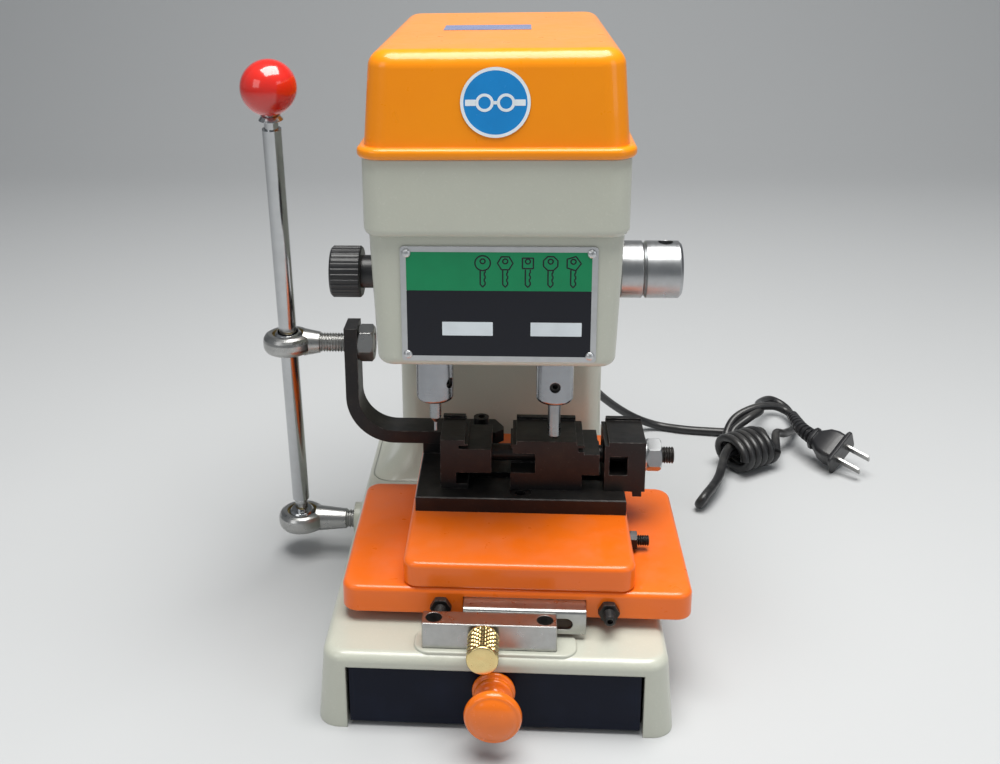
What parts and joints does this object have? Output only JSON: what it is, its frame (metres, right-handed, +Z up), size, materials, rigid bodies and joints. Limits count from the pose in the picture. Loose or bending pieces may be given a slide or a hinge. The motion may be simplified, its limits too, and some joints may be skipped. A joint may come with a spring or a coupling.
{
  "type": "key duplicating machine",
  "caption": "Bench key duplicator: column and motor head over a lever-moved cross-slide vise, a tracer chuck beside a cutter chuck, with a drawer in the base.",
  "frame": {"origin": "the point of the machine's underside midway between its sides and midway between its front and back", "axes": "+Z up, +X to the operator's right, +Y from the drawer front towards the column"},
  "size_m": [0.4229, 0.4403, 0.3503],
  "materials": {
    "grey_paint": "hammer-texture stove enamel, satin gloss",
    "orange_gloss": "glossy enamel",
    "orange_table": "glossy enamel",
    "drawer_front": "dark glossy enamel",
    "orange_knob": "glossy moulded plastic",
    "red_ball": "glossy phenolic ball",
    "black_plastic": "moulded, satin",
    "black_oxide": "black oxide with worn edges",
    "zinc_steel": "bright zinc plated",
    "ground_steel": "ground and polished",
    "tool_steel": "hardened tool steel",
    "dark_screws": "black oxide",
    "brass": "diamond knurled brass",
    "aluminium": "satin aluminium",
    "nameplate": "printed aluminium plate",
    "labels": "blank foil label and round safety sign",
    "cast_iron": "machined cast iron",
    "belt_rubber": "toothless rubber belt",
    "cable_black": "smooth vinyl sheath",
    "rocker_plastic": "glossy rocker"
  },
  "bodies": {
    "machine": {"base_casting": "grey_paint", "bottom_plate": "zinc_steel", "stop_bar": "zinc_steel", "lower_rod_end": "zinc_steel", "head_casting": "grey_paint", "rear_cover": "grey_paint", "top_cover": "orange_gloss", "cover_labels": "labels", "nameplate": "nameplate", "nameplate_rivets": "aluminium", "frame_bolts": "dark_screws", "panel_screws": "dark_screws", "drive_plate": "cast_iron", "guide_posts": "ground_steel", "motor_housing": "aluminium", "drive_belt": "belt_rubber", "switch_housing": "black_plastic", "mains_cable": "cable_black", "plug_body": "black_plastic", "plug_blades": "zinc_steel"},
    "drawer": {"drawer_tray": "drawer_front", "drawer_knob": "orange_knob"},
    "thumb_screw": {"thumb_screw": "brass"},
    "x_table": {"lower_table": "orange_table", "x_gib": "dark_screws", "slide_lock_plate": "zinc_steel"},
    "y_table": {"upper_table": "orange_table", "y_gib": "dark_screws", "vise_plate": "black_oxide", "left_jaw": "black_oxide", "clamp_stud": "black_oxide", "vise_screws": "dark_screws", "lever_bracket": "black_oxide", "upper_rod_end": "zinc_steel"},
    "right_jaw": {"right_jaw": "black_oxide"},
    "middle_jaw": {"middle_jaw": "black_oxide"},
    "clamp_nut": {"clamp_nut": "zinc_steel"},
    "lower_liner": {"lower_liner": "brass"},
    "lever": {"lever_rod": "zinc_steel", "ball_knob": "red_ball"},
    "upper_liner": {"upper_liner": "brass"},
    "upper_ball": {"upper_ball": "ground_steel"},
    "carriage": {"carriage": "cast_iron", "rack": "tool_steel", "spindle_bearings": "ground_steel", "return_springs": "ground_steel"},
    "feed_hub": {"feed_shaft": "ground_steel", "feed_hub": "zinc_steel"},
    "lock_knob": {"lock_knob": "black_plastic"},
    "lock_pad": {"lock_pad": "brass"},
    "motor_rotor": {"motor_rotor": "ground_steel"},
    "spindle_pulley": {"spindle_pulley": "aluminium"},
    "cutter_spindle": {"cutter_spindle": "ground_steel", "cutter": "tool_steel", "cutter_set_screw": "dark_screws"},
    "tracer": {"tracer_chuck": "ground_steel", "tracer_set_screw": "dark_screws", "tracer_pin": "tool_steel", "tracer_spring": "ground_steel"},
    "switch_rocker": {"switch_rocker": "rocker_plastic"}
  },
  "joints": [
    {"name": "drawer_slide", "type": "slide", "parent": "machine", "child": "drawer", "axis": [0, -1, 0], "range_m": [0, 0.095]},
    {"name": "thumb_screw_turn", "type": "hinge", "parent": "machine", "child": "thumb_screw", "pos_m": [-0.0054, -0.14, 0.0545], "axis": [0, 1, 0], "range_deg": [-180, 0]},
    {"name": "x_table_slide", "type": "slide", "parent": "machine", "child": "x_table", "axis": [1, 0, 0], "range_m": [-0.024, 0.004]},
    {"name": "y_table_slide", "type": "slide", "parent": "x_table", "child": "y_table", "axis": [0, 1, 0], "range_m": [-0.022, 0.008]},
    {"name": "right_jaw_slide", "type": "slide", "parent": "y_table", "child": "right_jaw", "axis": [1, 0, 0], "range_m": [-0.002, 0.003]},
    {"name": "clamp_nut_turn", "type": "hinge", "parent": "right_jaw", "child": "clamp_nut", "pos_m": [0.09, -0.027, 0.107], "axis": [1, 0, 0], "range_deg": [-481, 721]},
    {"name": "middle_jaw_slide", "type": "slide", "parent": "y_table", "child": "middle_jaw", "axis": [1, 0, 0], "range_m": [-0.00102, 0.00152]},
    {"name": "lower_liner_swing", "type": "hinge", "parent": "machine", "child": "lower_liner", "pos_m": [-0.132, 0.035, 0.026], "axis": [0, 1, 0], "range_deg": [-10.21, 1.78]},
    {"name": "lever_swing", "type": "hinge", "parent": "lower_liner", "child": "lever", "pos_m": [-0.132, 0.035, 0.026], "axis": [1, 0, 0], "range_deg": [-3.29, 8.86]},
    {"name": "upper_liner_swing", "type": "hinge", "parent": "y_table", "child": "upper_liner", "pos_m": [-0.12995, 0.0115, 0.1605], "axis": [0, 1, 0], "range_deg": [-10.21, 1.78]},
    {"name": "upper_ball_swing", "type": "hinge", "parent": "upper_liner", "child": "upper_ball", "pos_m": [-0.12995, 0.0115, 0.1605], "axis": [1, 0, 0], "range_deg": [-3.29, 8.86]},
    {"name": "carriage_slide", "type": "slide", "parent": "machine", "child": "carriage", "axis": [0, 0, 1], "range_m": [0, 0.02], "deforming": ["return_springs"]},
    {"name": "feed_hub_turn", "type": "hinge", "parent": "machine", "child": "feed_hub", "pos_m": [0.08, -0.0085, 0.215], "axis": [1, 0, 0], "range_deg": [-127.6, 0.3]},
    {"name": "lock_knob_turn", "type": "hinge", "parent": "machine", "child": "lock_knob", "pos_m": [-0.08, -0.042, 0.223], "axis": [1, 0, 0], "range_deg": [0, 180]},
    {"name": "lock_pad_slide", "type": "slide", "parent": "machine", "child": "lock_pad", "axis": [1, 0, 0], "range_m": [0, 0.0008]},
    {"name": "motor_spin", "type": "hinge", "parent": "machine", "child": "motor_rotor", "pos_m": [0, 0.079, 0.25], "axis": [0, 0, 1], "continuous": true},
    {"name": "pulley_spin", "type": "hinge", "parent": "machine", "child": "spindle_pulley", "pos_m": [0.0323, -0.042, 0.305], "axis": [0, 0, 1], "continuous": true},
    {"name": "cutter_spin", "type": "hinge", "parent": "carriage", "child": "cutter_spindle", "pos_m": [0.0323, -0.042, 0.16], "axis": [0, 0, 1], "continuous": true},
    {"name": "tracer_slide", "type": "slide", "parent": "carriage", "child": "tracer", "axis": [0, 0, 1], "range_m": [0, 0.003], "stiffness_N_per_m": 900, "deforming": ["tracer_spring"]},
    {"name": "switch_rock", "type": "hinge", "parent": "machine", "child": "switch_rocker", "pos_m": [0.066, 0.096, 0.164], "axis": [0, 1, 0], "range_deg": [-8, 8]}
  ],
  "couplings": [
    {"joint": "clamp_nut_turn", "follows": "right_jaw_slide", "rad_per_m": 4188.8},
    {"joint": "middle_jaw_slide", "follows": "right_jaw_slide", "ratio": 0.5},
    {"joint": "lower_liner_swing", "follows": "x_table_slide", "rad_per_m": 7.35},
    {"joint": "upper_liner_swing", "follows": "x_table_slide", "rad_per_m": 7.35},
    {"joint": "lever_swing", "follows": "y_table_slide", "rad_per_m": -6.95},
    {"joint": "upper_ball_swing", "follows": "y_table_slide", "rad_per_m": -6.95},
    {"joint": "feed_hub_turn", "follows": "carriage_slide", "rad_per_m": -111.11},
    {"joint": "lock_pad_slide", "follows": "lock_knob_turn", "m_per_rad": 0.0002387},
    {"joint": "pulley_spin", "follows": "motor_spin", "ratio": 1.2857},
    {"joint": "cutter_spin", "follows": "motor_spin", "ratio": 1.2857}
  ]
}
